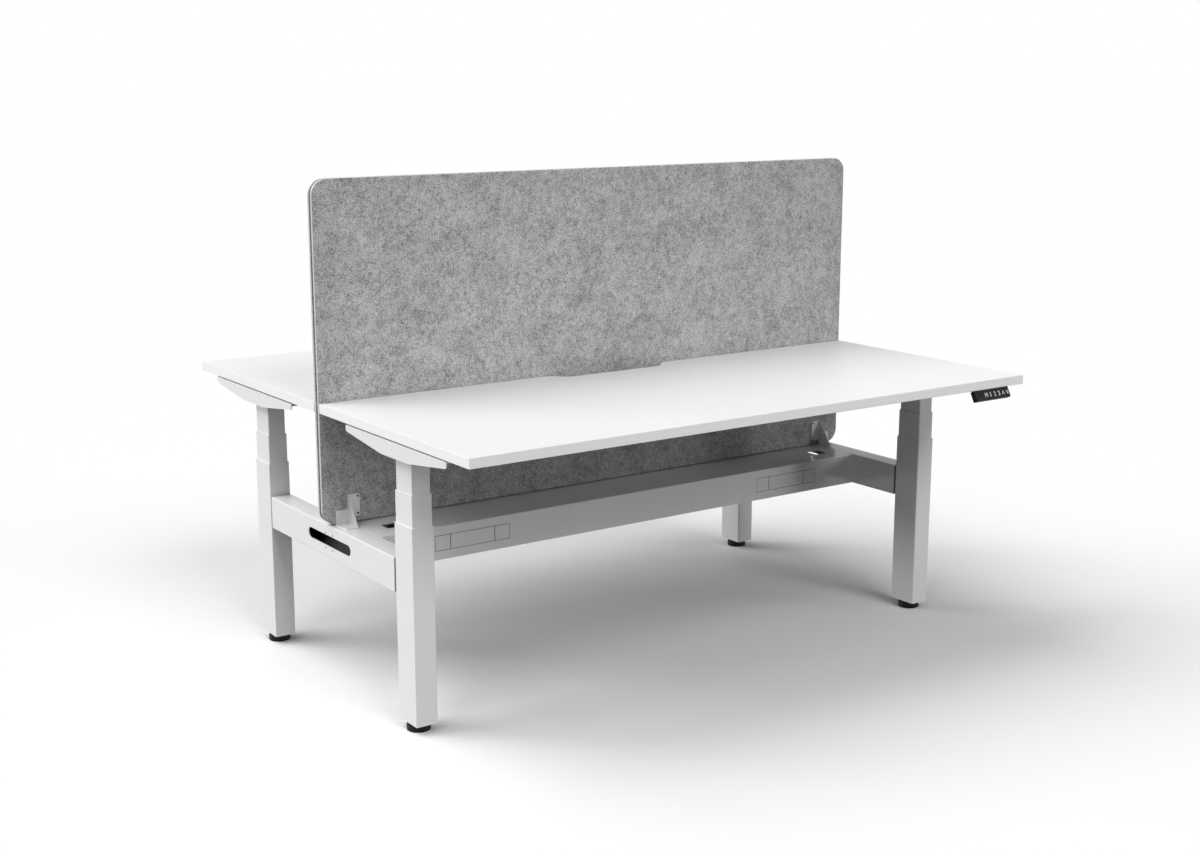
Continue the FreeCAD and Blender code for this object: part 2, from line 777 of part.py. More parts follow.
# The shared frame and the columns
for end, hand in (("left", -1), ("right", 1)):
    make_end_rail("end_rail_" + end, LEG_X * hand)
make_beam("cable_beam")
make_beam_cover("beam_cover")
make_felt("screen_front", False)
make_felt("screen_rear", True)
make_screen_core("screen_core")

for row, side, turned in (("front", -1, False), ("rear", 1, True)):
    for end, hand in (("left", -1), ("right", 1)):
        where = row + "_" + end
        leg_x = LEG_X * hand
        leg_y = LEG_Y * side
        make_outer_column(where + "_outer_column", leg_x, leg_y)
        make_stage(where + "_middle_column", leg_x, leg_y, 1, MIDDLE_TOP, MIDDLE_LENGTH)
        make_stage(where + "_inner_column", leg_x, leg_y, 2, COLUMN_HEAD, INNER_LENGTH)
        make_foot(where + "_foot", leg_x, leg_y)
        make_arm(where + "_arm", leg_x, leg_y, hand < 0)
        make_drive(where + "_drive", leg_x, leg_y, hand < 0)
        make_blank(where + "_knockout", WINDOW_X * hand, S.beam_width / 2 * side, turned)
        bracket_x = (RAIL_INNER + S.bracket_from_rail) * hand
        make_bracket(where + "_bracket", bracket_x, SCREEN_FACE * side, -hand * side, turned)
    make_desktop(row + "_desktop", turned)
    make_crossbars(row + "_crossbars", LEG_Y * side)
    make_control_box(row + "_control_box", LEG_Y * side, turned)
    handset_x = HANDSET_X * -side
    handset_y = HANDSET_Y * -side
    make_handset(row + "_handset", handset_x, handset_y, turned)
    for index, key in enumerate(KEY_NAMES):
        make_key(row + "_key_" + key, index, handset_x, handset_y, turned)

doc.recompute()
for item in doc.Objects:
    if "Invalid" in item.State or "Error" in item.State:
        raise ValueError(item.Name + " has failed: " + str(item.State))
os.makedirs("parts", exist_ok=True)
for body in NODES:
    if body.Shape.isNull() or not body.Shape.isValid():
        raise ValueError(body.Label + " has no valid shape")
    body.Shape.exportStep("parts/" + body.Label + ".step")
print(len(NODES), "nodes written")
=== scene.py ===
import math

import bmesh
import bpy
from mathutils import Matrix, Vector


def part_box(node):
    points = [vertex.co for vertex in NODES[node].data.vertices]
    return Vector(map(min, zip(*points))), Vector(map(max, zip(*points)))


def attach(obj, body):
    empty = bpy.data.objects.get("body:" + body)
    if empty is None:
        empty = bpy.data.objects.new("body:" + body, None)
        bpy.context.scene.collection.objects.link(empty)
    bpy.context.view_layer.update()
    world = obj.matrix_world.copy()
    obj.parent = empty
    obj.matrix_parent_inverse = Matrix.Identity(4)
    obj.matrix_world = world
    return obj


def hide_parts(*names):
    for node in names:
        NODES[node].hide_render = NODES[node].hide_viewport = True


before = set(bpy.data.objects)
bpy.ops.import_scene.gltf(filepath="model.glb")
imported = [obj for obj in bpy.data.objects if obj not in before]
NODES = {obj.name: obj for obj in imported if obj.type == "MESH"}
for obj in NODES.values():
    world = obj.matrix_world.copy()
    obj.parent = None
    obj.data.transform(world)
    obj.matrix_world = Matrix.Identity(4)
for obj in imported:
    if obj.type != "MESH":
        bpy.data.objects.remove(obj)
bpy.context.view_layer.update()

# Back-to-back workstation, dressed: felt screen, powder-coated frame, melamine tops and handsets.
# Metres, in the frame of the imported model. The front half is modelled, and the rear half is the
# same pieces turned half a turn about the vertical axis.

FRONT = Matrix.Identity(4)
REAR = Matrix.Rotation(math.pi, 4, "Z")
ROWS = (("front", FRONT), ("rear", REAR))


# Camera, where the photograph was taken from: metres, degrees and millimetres
CAMERA_PLACE = (-2.72147, -3.86715, 1.59924)
CAMERA_TURN = 35.015
CAMERA_DIP = 11.992
LENS = 50.2286
SENSOR = 36.0

camera_data = bpy.data.cameras.new("photo_camera")
camera_data.lens = LENS
camera_data.sensor_width = SENSOR
camera_data.sensor_fit = "HORIZONTAL"
camera = bpy.data.objects.new("photo_camera", camera_data)
camera.location = CAMERA_PLACE
camera.rotation_euler = (math.radians(90 - CAMERA_DIP), 0, -math.radians(CAMERA_TURN))
bpy.context.scene.collection.objects.link(camera)
bpy.context.scene.camera = camera


# The Mix node's sockets for two colours
MIX_SHARE = 0
MIX_FIRST = 6
MIX_SECOND = 7
MIX_RESULT = 2


class Value:
    """A number that changes over a surface. Arithmetic on it adds Math nodes."""

    def __init__(self, finish, socket):
        self.finish = finish
        self.socket = socket

    def _math(self, operation, first, second):
        return self.finish.node("ShaderNodeMath", {"operation": operation}, {0: first, 1: second})

    def __add__(self, other):
        return self._math("ADD", self, other)

    def __radd__(self, other):
        return self._math("ADD", other, self)

    def __sub__(self, other):
        return self._math("SUBTRACT", self, other)

    def __rsub__(self, other):
        return self._math("SUBTRACT", other, self)

    def __mul__(self, other):
        return self._math("MULTIPLY", self, other)

    def __rmul__(self, other):
        return self._math("MULTIPLY", other, self)

    def __gt__(self, other):
        return self._math("GREATER_THAN", self, other)

    def __lt__(self, other):
        return self._math("LESS_THAN", self, other)

    def __abs__(self):
        return self._math("ABSOLUTE", self, 0.0)


class Finish:
    """A material for one finish, made node by node on Object coordinates."""

    def __init__(self, name):
        self.material = bpy.data.materials.new(name)
        self.material.use_nodes = True
        self.tree = self.material.node_tree
        self.shader = self.tree.nodes["Principled BSDF"]
        self.place = self.node("ShaderNodeTexCoord", {}, {}, "Object")

    def node(self, kind, settings, sockets, output=0):
        """Adds a node: its settings first, then the values or links of its sockets."""
        added = self.tree.nodes.new(kind)
        for name, value in settings.items():
            if name == "stops":
                ramp = added.color_ramp.elements
                while len(ramp) < len(value):
                    ramp.new(1.0)
                for stop, (at, colour) in zip(ramp, value):
                    stop.position = at
                    stop.color = colour
            else:
                setattr(added, name, value)
        for name, value in sockets.items():
            self.feed(added.inputs[name], value)
        return Value(self, added.outputs[output])

    def feed(self, socket, value):
        if isinstance(value, Value):
            self.tree.links.new(value.socket, socket)
        else:
            socket.default_value = value

    def set(self, **sockets):
        """Sets or links the shader's own sockets; underscores stand for spaces."""
        for name, value in sockets.items():
            self.feed(self.shader.inputs[name.replace("_", " ")], value)

    def axes(self):
        """The three coordinates of the place."""
        split = self.node("ShaderNodeSeparateXYZ", {}, {0: self.place})
        outputs = split.socket.node.outputs
        return Value(self, outputs[0]), Value(self, outputs[1]), Value(self, outputs[2])

    def facing(self, axis):
        """How far the surface faces along an axis, from minus one to one."""
        normal = self.node("ShaderNodeNewGeometry", {}, {}, "Normal")
        return self.node("ShaderNodeSeparateXYZ", {}, {0: normal}, axis)

    def stretched(self, x, y, z):
        """The place with scaled axes: a pattern on it is longest along the axis with the least scale."""
        return self.node("ShaderNodeMapping", {}, {"Vector": self.place, "Scale": (x, y, z)})

    def noise(self, scale, detail=2.0, roughness=0.5, distortion=0.0, place=None):
        """Noise of a scale in cells per metre."""
        sockets = {
            "Vector": place or self.place, "Scale": scale, "Detail": detail,
            "Roughness": roughness, "Distortion": distortion,
        }
        return self.node("ShaderNodeTexNoise", {}, sockets)

    def ramp(self, value, *stops):
        """Grey stops, given as (position, level)."""
        shades = [(at, (level, level, level, 1.0)) for at, level in stops]
        return self.node("ShaderNodeValToRGB", {"stops": shades}, {0: value})

    def mix(self, share, first, second, blend="MIX"):
        """Mixes two colours."""
        settings = {"data_type": "RGBA", "blend_type": blend}
        sockets = {MIX_SHARE: share, MIX_FIRST: first, MIX_SECOND: second}
        return self.node("ShaderNodeMix", settings, sockets, MIX_RESULT)

    def bump(self, height, strength, distance):
        sockets = {"Height": height, "Strength": strength, "Distance": distance}
        return self.node("ShaderNodeBump", {}, sockets)


def shade(red, green=None, blue=None):
    """A colour with alpha, grey where one level is given."""
    return (red, red if green is None else green, red if blue is None else blue, 1.0)


# Finishes. How far a desktop's faces face up or down tells its edge band, its bevel and its face apart

BAND_FACING = 0.3
FACE_FACING = 0.95


def melamine():
    """White melamine: a faint pearl grain, upright edges painted whiter than the face as a painted
    highlight, and a hairline where the two meet.
    """
    finish = Finish("white_melamine")
    pearl = finish.noise(1400.0, 2.0)
    cloud = finish.noise(3.0, 3.0)
    upright = abs(finish.facing("Z"))
    hairline = (upright > BAND_FACING) * (upright < FACE_FACING)
    face = finish.mix(cloud, shade(0.796, 0.796, 0.794), shade(0.814, 0.814, 0.812))
    # Painted highlight: the upright edges are far whiter than the face, standing in for the light on them
    board = finish.mix(upright < BAND_FACING, face, shade(0.950, 0.950, 0.948))
    finish.set(
        Base_Color=finish.mix(hairline * 0.5, board, shade(0.7)),
        Roughness=0.34 + pearl * 0.12,
        Normal=finish.bump(pearl, 0.05, 0.0002),
        IOR=1.47,
    )
    return finish.material


# Where painted shade lies on the frame: the end rails' inside, and the score lines and the windows' edges,
# which are nearer to the middle plane than the beam's faces

RAIL_X = 0.848
RAIL_MIDDLE = 0.389
RAIL_INSIDE_X = 0.0277
RAIL_INSIDE_Z = 0.0427
SCORE_DEPTH_Y = 0.1777
BLANK_LIP = 0.0020
BLANK_LOW, BLANK_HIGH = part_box("front_right_knockout")
WINDOW_MIDDLE = (BLANK_LOW + BLANK_HIGH) / 2
WINDOW_REACH = (BLANK_HIGH - BLANK_LOW) / 2 - Vector((BLANK_LIP, 0, BLANK_LIP))


def inside_rail(finish):
    """One inside the end rails and on the tongues that join them to the columns: painted shade for the
    hollow and the gaps.
    """
    x, y, z = finish.axes()
    return (abs(abs(x) - RAIL_X) < RAIL_INSIDE_X) * (abs(z - RAIL_MIDDLE) < RAIL_INSIDE_Z)


def score_line(finish):
    """One in the score lines of the knock-out panels, which are painted dark as painted shade in the slits.
    """
    x, y, z = finish.axes()
    return abs(y) < SCORE_DEPTH_Y


def window_edge(finish):
    """One on the edges of the beam's windows, round the knock-out panels, painted near black as painted
    shade in the gaps.
    """
    x, y, z = finish.axes()
    across = abs(abs(x) - WINDOW_MIDDLE.x) < WINDOW_REACH.x
    return across * (abs(z - WINDOW_MIDDLE.z) < WINDOW_REACH.z) * (abs(y) < SCORE_DEPTH_Y)


# The share of painted shade on a face that lies level: the coat is painted darker the more it faces up
LEVEL_FACE_SHADE = 0.9


def powder_coat(name, painted_shade_mask=None, painted_shade_level=0.0):
    """White powder coat: fine orange peel on folded and welded sheet metal, with painted shade that makes
    it a little darker where it faces up. Where the painted shade mask is one, its colour is the painted
    shade level."""
    finish = Finish(name)
    peel = finish.noise(650.0, 2.0, 0.45)
    grain = finish.noise(2600.0, 1.0)
    cloud = finish.noise(5.0, 2.0)
    unshaded_coat = finish.mix(cloud, shade(0.832, 0.832, 0.832), shade(0.857, 0.857, 0.855))
    # Painted shade: the more a face looks up, the more it is mixed towards a darker coat
    level = finish.facing("Z")
    coat = finish.mix((level > 0.0) * level * LEVEL_FACE_SHADE, unshaded_coat, shade(0.757, 0.757, 0.755))
    # Painted shade: where the mask is one, the coat gives way to its dark level
    finish.set(
        Base_Color=coat if painted_shade_mask is None else finish.mix(painted_shade_mask(finish), coat, shade(painted_shade_level)),
        Roughness=0.10 + grain * 0.08,
        Normal=finish.bump(peel, 0.04, 0.0002),
        IOR=1.5,
    )
    return finish.material


# The felt sheets face along Y, and a face that looks that way by less than this is a cut edge
SHEET_FACING = 0.6


def felt():
    """Pressed felt, marled from dark and light fibres, with clouds, dark hairs, and paler sheet edges that
    are a painted highlight.
    """
    finish = Finish("marled_grey_felt")
    lying = finish.stretched(0.5, 1.0, 1.2)
    standing = finish.stretched(1.3, 1.0, 0.45)
    speckle = finish.noise(300.0, 3.0, 0.7, 0.3)
    lying_fibre = finish.noise(230.0, 4.0, 0.68, 0.9, lying)
    standing_fibre = finish.noise(210.0, 3.0, 0.66, 0.7, standing)
    clump = finish.noise(48.0, 4.0, 0.62, 0.5)
    cloud = finish.noise(8.5, 4.0, 0.55, 0.6)
    drift = finish.noise(3.2, 2.0, 0.5, 0.4)
    fibre = speckle * 0.46 + lying_fibre * 0.30 + standing_fibre * 0.24
    blend = fibre * 0.79 + clump * 0.11 + cloud * 0.10
    level = finish.ramp(blend, (0.42, 0.0), (0.5, 0.56), (0.58, 1.0))
    marl = finish.mix(level, shade(0.165, 0.165, 0.178), shade(0.665, 0.665, 0.652))
    crossing = abs(finish.noise(95.0, 2.0, 0.5, 1.6) - 0.5)
    hair = finish.ramp(crossing, (0.0, 1.0), (0.014, 1.0), (0.03, 0.0)) * (clump < 0.47)
    haired = finish.mix(hair * 0.55, marl, shade(0.115, 0.11, 0.125))
    cool = finish.mix(drift, shade(0.50, 0.47, 0.455), shade(0.43, 0.445, 0.475))
    tint = finish.mix(0.35, haired, cool, "OVERLAY")
    across = abs(finish.facing("Y"))
    # Painted highlight: edges that don't look along Y are painted much paler than the felt
    edge_highlight = finish.mix(speckle, shade(0.52, 0.52, 0.52), shade(0.78, 0.78, 0.77))
    pile = speckle * 0.6 + lying_fibre * 0.4
    finish.set(
        Base_Color=finish.mix(across < SHEET_FACING, tint, edge_highlight),
        Roughness=0.95,
        Normal=finish.bump(pile, 0.5, 0.0009),
        Sheen_Weight=0.15,
        Sheen_Roughness=0.6,
        Specular_IOR_Level=0.2,
    )
    return finish.material


def moulded(name, level, roughness, grain_scale, strength):
    """Black moulded plastic with a spark-eroded grain."""
    finish = Finish(name)
    grain = finish.noise(grain_scale, 3.0, 0.6)
    wear = finish.noise(35.0, 3.0)
    finish.set(
        Base_Color=finish.mix(wear, shade(level), shade(level * 1.35)),
        Roughness=roughness + grain * 0.16,
        Normal=finish.bump(grain, strength, 0.00012),
        Specular_IOR_Level=0.2,
    )
    return finish.material


def core_board():
    """Dark fibreboard between the felt sheets."""
    finish = Finish("dark_core_board")
    fibre = finish.noise(420.0, 4.0, 0.7, 0.0, finish.stretched(1.0, 6.0, 1.0))
    finish.set(
        Base_Color=finish.mix(fibre, shade(0.035, 0.035, 0.038), shade(0.085, 0.085, 0.09)),
        Roughness=0.82,
        Normal=finish.bump(fibre, 0.3, 0.0003),
    )
    return finish.material


def zinc():
    """Zinc-plated screw heads."""
    finish = Finish("zinc_screw")
    swirl = finish.noise(900.0, 3.0, 0.6)
    finish.set(
        Base_Color=finish.mix(swirl, shade(0.50, 0.50, 0.49), shade(0.62, 0.62, 0.62)),
        Metallic=1.0,
        Roughness=0.28 + swirl * 0.15,
    )
    return finish.material


def black_oxide():
    """Black-oxide screw heads."""
    finish = Finish("black_oxide_screw")
    swirl = finish.noise(900.0, 3.0, 0.6)
    finish.set(
        Base_Color=finish.mix(swirl, shade(0.030), shade(0.055)),
        Metallic=0.7,
        Roughness=0.36 + swirl * 0.12,
    )
    return finish.material


def motor_enamel():
    """Black enamel on the motor and gear case."""
    finish = Finish("black_motor_enamel")
    peel = finish.noise(500.0, 2.0)
    finish.set(
        Base_Color=finish.mix(peel, shade(0.028), shade(0.045)),
        Roughness=0.42 + peel * 0.12,
        Normal=finish.bump(peel, 0.12, 0.0003),
    )
    return finish.material


def printed_legend():
    """Pale grey print on the keys."""
    finish = Finish("pale_key_print")
    ink = finish.noise(2200.0, 2.0)
    finish.set(
        Base_Color=finish.mix(ink, shade(0.66, 0.67, 0.68), shade(0.76, 0.77, 0.78)),
        Roughness=0.5,
    )
    return finish.material


def smoked_window():
    """Smoked matt window over the handset's display."""
    finish = Finish("smoked_window")
    haze = finish.noise(60.0, 2.0)
    finish.set(
        Base_Color=finish.mix(haze, shade(0.006), shade(0.009)),
        Roughness=0.42 + haze * 0.06,
        Specular_IOR_Level=0.16,
    )
    return finish.material


MELAMINE = melamine()
POWDER = powder_coat("white_powder_coat")
# Painted shade inside the end rails and on the tongues at the columns
RAIL_COAT = powder_coat("white_coat_shaded_inside", painted_shade_mask=inside_rail, painted_shade_level=0.22)
# Painted shade in the score lines round and between the knock-out panels
SCORED_COAT = powder_coat("white_coat_shaded_score_lines", painted_shade_mask=score_line, painted_shade_level=0.02)
# Painted shade along the edges of the beam's windows
BEAM_COAT = powder_coat("white_coat_shaded_window_edges", painted_shade_mask=window_edge, painted_shade_level=0.006)
FELT = felt()
CORE = core_board()
FOOT_PLASTIC = moulded("black_foot_plastic", level=0.006, roughness=0.42, grain_scale=900.0, strength=0.2)
CASE_PLASTIC = moulded("black_case_plastic", level=0.008, roughness=0.45, grain_scale=1500.0, strength=0.25)
KEY_PLASTIC = moulded("black_key_plastic", level=0.012, roughness=0.55, grain_scale=1900.0, strength=0.2)
ENAMEL = motor_enamel()
ZINC = zinc()
BLACK_OXIDE = black_oxide()
PRINT = printed_legend()
WINDOW = smoked_window()

# The finish of a CAD node goes by the first of these words in its name
NODE_FINISHES = (
    ("desktop", MELAMINE), ("control_box", CASE_PLASTIC), ("handset", CASE_PLASTIC),
    ("_key_", KEY_PLASTIC), ("drive", ENAMEL), ("foot", FOOT_PLASTIC), ("screen_core", CORE),
    ("screen", FELT), ("end_rail", RAIL_COAT), ("knockout", SCORED_COAT), ("cable_beam", BEAM_COAT),
)
for node_name, node_object in NODES.items():
    coat = next((material for word, material in NODE_FINISHES if word in node_name), POWDER)
    node_object.data.materials.clear()
    node_object.data.materials.append(coat)


# Making pieces

SHARP = math.radians(32)
TOUCHING = 0.000001
UP = Vector((0, 0, 1))


def add_piece(name, shape, material, body, place=FRONT, replaces=()):
    """Turns a bmesh into a named piece that rides on a CAD body."""
    bmesh.ops.remove_doubles(shape, verts=shape.verts, dist=TOUCHING)
    bmesh.ops.transform(shape, matrix=place, verts=shape.verts)
    bmesh.ops.recalc_face_normals(shape, faces=shape.faces)
    for face in shape.faces:
        face.smooth = True
    for edge in shape.edges:
        edge.smooth = len(edge.link_faces) == 2 and edge.calc_face_angle() < SHARP
    mesh = bpy.data.meshes.new(name)
    shape.to_mesh(mesh)
    shape.free()
    mesh.materials.append(material)
    piece = bpy.data.objects.new(name, mesh)
    bpy.context.scene.collection.objects.link(piece)
    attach(piece, body)
    if replaces:
        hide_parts(*replaces)


def end_name(row, end):
    """The end of a row that a piece modelled at one end of the front row comes to."""
    other = {"left": "right", "right": "left"}
    return row + "_" + (end if row == "front" else other[end])


def frame_at(origin, across, outward):
    """A place whose Z axis points outward and whose X axis runs across."""
    z_axis = Vector(outward).normalized()
    x_axis = Vector(across).normalized()
    y_axis = z_axis.cross(x_axis)
    turn = Matrix((x_axis, y_axis, z_axis)).transposed().to_4x4()
    return Matrix.Translation(origin) @ turn


def edges_of(verts):
    """The edges at some vertices, each once and in a steady order."""
    return list(dict.fromkeys(edge for vert in verts for edge in vert.link_edges))


RIM_STEPS = 2


def round_edges(shape, edges, radius, steps):
    bmesh.ops.bevel(
        shape, geom=edges, offset=radius, offset_type="OFFSET", affect="EDGES", segments=steps, profile=0.5,
        material=-1, clamp_overlap=True)


def merge_into(shape, part, place):
    """Moves a part to its place and adds it to a shape."""
    bmesh.ops.transform(part, matrix=place, verts=part.verts)
    mesh = bpy.data.meshes.new("part")
    part.to_mesh(mesh)
    part.free()
    shape.from_mesh(mesh)
    bpy.data.meshes.remove(mesh)


def add_block(shape, low, high, corner=0.0, rim=0.0, steps=4, axis=2, place=FRONT):
    """A block between two corners: its edges along one axis get a corner radius, and its far face a rim
    radius."""
    low = Vector(low)
    high = Vector(high)
    fit = Matrix.Translation((low + high) / 2) @ Matrix.Diagonal((*(high - low), 1.0))
    part = bmesh.new()
    bmesh.ops.create_cube(part, size=1.0, matrix=fit)
    if corner:
        along = [
            edge for edge in part.edges
            if abs((edge.verts[0].co - edge.verts[1].co)[axis]) > TOUCHING]
        round_edges(part, along, corner, steps)
    if rim:
        far = [
            edge for edge in part.edges
            if all(abs(vert.co[axis] - high[axis]) < TOUCHING for vert in edge.verts)]
        round_edges(part, far, rim, RIM_STEPS)
    merge_into(shape, part, place)


def add_ring(part, radius, height, steps):
    return edges_of(bmesh.ops.create_circle(
        part, segments=steps, radius=radius, matrix=Matrix.Translation((0, 0, height)))["verts"])


def add_turned(shape, profile, steps, place):
    """A profile of (radius, height) spun about the Z axis of a place and closed at both ends."""
    part = bmesh.new()
    corners = [(0.0, profile[0][1]), *profile, (0.0, profile[-1][1])]
    verts = [part.verts.new((0.0, radius, height)) for radius, height in corners]
    edges = [part.edges.new(pair) for pair in zip(verts, verts[1:])]
    bmesh.ops.spin(
        part, geom=verts + edges, cent=(0, 0, 0), axis=(0, 0, 1), angle=math.tau, steps=steps,
        use_merge=True)
    bmesh.ops.remove_doubles(part, verts=part.verts, dist=TOUCHING)
    merge_into(shape, part, place)


# Button-head screws: the rings of the socket and of the head, as shares of the radius and the height

SOCKET_RINGS = ((0.47, 0.3), (0.5, 1.0))
HEAD_RINGS = ((0.66, 1.0), (0.84, 0.86), (0.96, 0.52), (1.0, 0.2))
SOCKET_SIDES = 6
HEAD_SIDES = 20
SCREW_SINK = 0.0002

# Radius and height of each kind of head
BRACKET_SCREW = (0.0028, 0.0016)
RAIL_SCREW = (0.0021, 0.0008)
ARM_SCREW = (0.0052, 0.0028)
COVER_SCREW = (0.0042, 0.0018)
CASE_SCREW = (0.0036, 0.0022)
EAR_SCREW = (0.0042, 0.0022)


def add_screw(shape, origin, outward, size):
    """A button-head screw with a hexagonal socket."""
    radius, height = size
    outward = Vector(outward)
    across = Vector((1, 0, 0)) if abs(outward.z) > 0.5 else UP
    part = bmesh.new()
    rings = [add_ring(part, radius * share, height * level, SOCKET_SIDES) for share, level in SOCKET_RINGS]
    rings += [add_ring(part, radius * share, height * level, HEAD_SIDES) for share, level in HEAD_RINGS]
    rings.append(add_ring(part, radius, -SCREW_SINK, HEAD_SIDES))
    for first, second in zip(rings, rings[1:]):
        bmesh.ops.bridge_loops(part, edges=first + second)
    bmesh.ops.edgeloop_fill(part, edges=rings[0])
    bmesh.ops.edgeloop_fill(part, edges=rings[-1])
    merge_into(shape, part, frame_at(origin, across, outward))


def add_screws(name, places, outward, size, material, body, place=FRONT):
    shape = bmesh.new()
    for origin in places:
        add_screw(shape, origin, outward, size)
    add_piece(name, shape, material, body, place)


# Felt sheets of the screen, with softly rounded cut edges

FELT_ROUND = 0.041
FELT_ROUND_STEPS = 16
FELT_EDGE = 0.0016
FELT_EDGE_STEPS = 3
THROUGH_SHEET = 0.0001


def add_felt(row, place):
    low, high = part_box("screen_front")
    shape = bmesh.new()
    add_block(shape, low, high, FELT_ROUND, steps=FELT_ROUND_STEPS, axis=1)
    rim = [edge for edge in shape.edges if abs(edge.verts[0].co.y - edge.verts[1].co.y) < THROUGH_SHEET]
    round_edges(shape, rim, FELT_EDGE, FELT_EDGE_STEPS)
    add_piece("felt_sheet_" + row, shape, FELT, "base", place, ["screen_" + row])


# Levelling feet: a moulded disc, a hexagonal collar and a threaded stem

FOOT_TOP = 0.017
FOOT_ROUND = 0.0022
FOOT_SIDES = 64
GROOVE_DEPTH = 0.0008
COLLAR_TOP = 0.0225
COLLAR_RADIUS = 0.0126
COLLAR_SINK = 0.0004
COLLAR_BEVEL = 0.0006
COLLAR_SIDES = 6
STEM_RADIUS = 0.005
STEM_SIDES = 20
THREAD_PITCH = 0.0015
THREAD_DEPTH = 0.0006


def add_foot(row, end):
    name = row + "_" + end + "_foot"
    low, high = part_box(name)
    place = Matrix.Translation(((low[0] + high[0]) / 2, (low[1] + high[1]) / 2, 0.0))
    edge = (high[0] - low[0]) / 2
    step = FOOT_ROUND * 0.3
    shape = bmesh.new()
    add_turned(shape, [
        (edge - FOOT_ROUND, 0.0), (edge - step, step), (edge, FOOT_ROUND), (edge, FOOT_TOP - FOOT_ROUND),
        (edge - step, FOOT_TOP - step), (edge - FOOT_ROUND, FOOT_TOP), (edge * 0.72, FOOT_TOP),
        (edge * 0.69, FOOT_TOP - GROOVE_DEPTH), (edge * 0.5, FOOT_TOP - GROOVE_DEPTH),
        (edge * 0.47, FOOT_TOP), (STEM_RADIUS, FOOT_TOP),
    ], FOOT_SIDES, place)
    add_turned(shape, [
        (COLLAR_RADIUS, FOOT_TOP - COLLAR_SINK), (COLLAR_RADIUS, COLLAR_TOP - COLLAR_BEVEL),
        (COLLAR_RADIUS * 0.95, COLLAR_TOP), (STEM_RADIUS, COLLAR_TOP),
    ], COLLAR_SIDES, place)
    turns = int((high[2] - COLLAR_TOP) / THREAD_PITCH) - 1
    thread = [(STEM_RADIUS - THREAD_DEPTH, COLLAR_TOP)]
    for turn in range(turns):
        base = COLLAR_TOP + turn * THREAD_PITCH
        thread.append((STEM_RADIUS, base + THREAD_PITCH * 0.5))
        thread.append((STEM_RADIUS - THREAD_DEPTH, base + THREAD_PITCH))
    thread.append((STEM_RADIUS - THREAD_DEPTH * 2, high[2]))
    add_turned(shape, thread, STEM_SIDES, place)
    add_piece(name + "_moulding", shape, FOOT_PLASTIC, name, FRONT, [name])


# Handset face: its own frame, with the first key at the left of the user

TILT = math.radians(28)
FACE_ACROSS = Vector((1, 0, 0))
FACE_OUT = Vector((0, -math.cos(TILT), math.sin(TILT)))
KEY_HEIGHT = 0.020
KEY_PROUD = 0.0006
KEY_DEPTH = 0.0024
KEY_CORNER = 0.0016
KEY_CORNER_STEPS = 5
KEY_RIM = 0.0005
KEY_LOW, KEY_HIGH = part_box("front_key_one")
FACE_MIDDLE = (KEY_LOW + KEY_HIGH) / 2 - FACE_OUT * (KEY_PROUD - KEY_DEPTH) / 2
LEGEND_LIFT = 0.00012
STROKE = 0.0016
LETTER_WEIGHT = 0.008
LETTER_STEPS = 5

# Each key's name, sign, and the sign's width and height, which is negative where it points down
LEGENDS = (
    ("memory", "M", 0.0106, 0.0128), ("one", "1", 0.0026, 0.0128), ("two", "2", 0.0074, 0.0128),
    ("three", "3", 0.0074, 0.0128), ("up", "^", 0.0100, 0.0110), ("down", "^", 0.0100, -0.0110),
)


def face_place(x, proud=0.0):
    """A place on the middle line of the handset's face."""
    origin = FACE_MIDDLE + FACE_OUT * proud
    origin.x = x
    return frame_at(origin, FACE_ACROSS, FACE_OUT)


def letter_shape(text, width, height):
    """A printed letter of one size, made from the built-in font."""
    letter = bpy.data.curves.new("letter", "FONT")
    letter.body = text
    letter.offset = LETTER_WEIGHT
    letter.resolution_u = LETTER_STEPS
    holder = bpy.data.objects.new("letter", letter)
    bpy.context.scene.collection.objects.link(holder)
    drawn = holder.evaluated_get(bpy.context.evaluated_depsgraph_get())
    mesh = bpy.data.meshes.new_from_object(drawn)
    shape = bmesh.new()
    shape.from_mesh(mesh)
    bpy.data.objects.remove(holder)
    bpy.data.curves.remove(letter)
    bpy.data.meshes.remove(mesh)
    left = min(vert.co.x for vert in shape.verts)
    right = max(vert.co.x for vert in shape.verts)
    low = min(vert.co.y for vert in shape.verts)
    high = max(vert.co.y for vert in shape.verts)
    fit = Matrix.Diagonal((width / (right - left), height / (high - low), 1.0, 1.0))
    middle = Matrix.Translation((-(left + right) / 2, -(low + high) / 2, 0.0))
    bmesh.ops.transform(shape, matrix=fit @ middle, verts=shape.verts)
    return shape


def filled_outline(corners):
    """A flat shape inside one outline."""
    shape = bmesh.new()
    shape.faces.new([shape.verts.new((x, y, 0.0)) for x, y in corners]).normal_update()
    bmesh.ops.triangulate(shape, faces=shape.faces)
    return shape


def memory_shape(width, height):
    """The capital M on the memory key."""
    half = width / 2
    rise = height / 2
    inner = half - STROKE
    notch = STROKE * 1.9
    low = -rise * 0.55
    return filled_outline([
        (-half, -rise), (-inner, -rise), (-inner, rise - notch), (0.0, low), (inner, rise - notch),
        (inner, -rise), (half, -rise), (half, rise), (inner, rise), (0.0, low + notch), (-inner, rise),
        (-half, rise),
    ])


def chevron_shape(width, height):
    """An arrowhead of two strokes, pointing up, or down where the height is negative."""
    half = width / 2
    rise = height / 2
    foot = STROKE * 1.25
    notch = STROKE * 1.5 * math.copysign(1.0, height)
    return filled_outline([
        (-half, -rise), (-half + foot, -rise), (0.0, rise - notch * 1.3), (half - foot, -rise),
        (half, -rise), (foot * 0.42, rise), (-foot * 0.42, rise),
    ])


DRAWN_LEGENDS = {"M": memory_shape, "^": chevron_shape}


